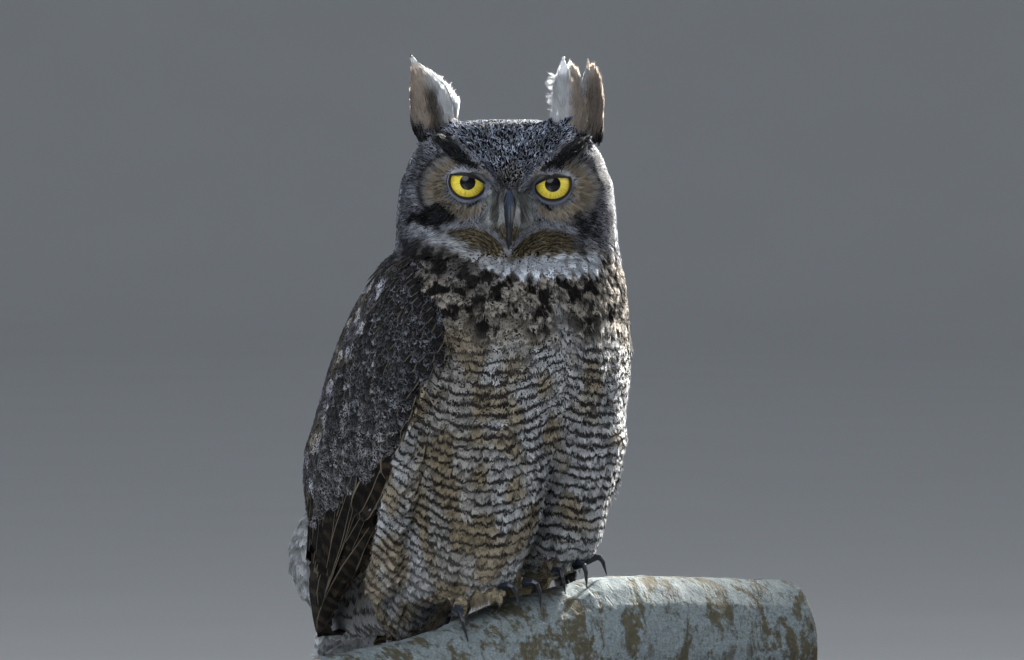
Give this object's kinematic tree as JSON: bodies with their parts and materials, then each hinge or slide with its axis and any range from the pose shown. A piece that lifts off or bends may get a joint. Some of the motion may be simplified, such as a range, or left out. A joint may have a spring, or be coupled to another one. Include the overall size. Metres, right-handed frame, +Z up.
{
  "type": "great horned owl",
  "caption": "Life-size great horned owl perched with folded wings on a cut length of branch, its head turned to look over its right, on a plain display stand.",
  "frame": {"origin": "middle of the model's footprint, on the floor under the stand", "axes": "+Z up, the owl's body faces -Y, its own left is +X; the head is turned about 36 degrees towards -X"},
  "size_m": [0.432, 0.3804, 0.6446],
  "materials": {
    "dark_feathers": "soft dark brown and grey feathers with fine pale marbling",
    "barred_feathers": "soft buff and white feathers with narrow dark bars",
    "pale_feathers": "soft white feathers",
    "flight_feathers": "smooth brown flight feathers with darker bars",
    "toe_feathers": "short buff feathers",
    "horn": "smooth slate-black horn of bill and claws",
    "eye": "wet, clear yellow eye with a black pupil",
    "bark": "grey bark with pale lichen",
    "stand_wood": "dark oiled wood, satin",
    "stand_steel": "brushed steel rod"
  },
  "bodies": {
    "root": {"bill_lower": "horn", "bill_upper": "horn", "claw_left_1": "horn", "claw_left_2": "horn", "claw_left_3": "horn", "claw_left_4": "horn", "claw_right_1": "horn", "claw_right_2": "horn", "claw_right_3": "horn", "claw_right_4": "horn", "ear_tuft_left": "dark_feathers", "ear_tuft_right": "dark_feathers", "eye_left": "eye", "eye_right": "eye", "foot_left": "toe_feathers", "foot_right": "toe_feathers", "head": "dark_feathers", "leg_left": "barred_feathers", "leg_right": "barred_feathers", "mantle": "dark_feathers", "neck": "pale_feathers", "perch": "bark", "stand_base": "stand_wood", "stand_rod_1": "stand_steel", "stand_rod_2": "stand_steel", "tail": "flight_feathers", "tail_coverts_under": "pale_feathers", "tail_coverts_upper": "dark_feathers", "trunk": "barred_feathers", "wing_left_coverts": "dark_feathers", "wing_left_primaries": "flight_feathers", "wing_left_secondaries": "flight_feathers", "wing_right_coverts": "dark_feathers", "wing_right_primaries": "flight_feathers", "wing_right_secondaries": "flight_feathers"}
  },
  "joints": []
}
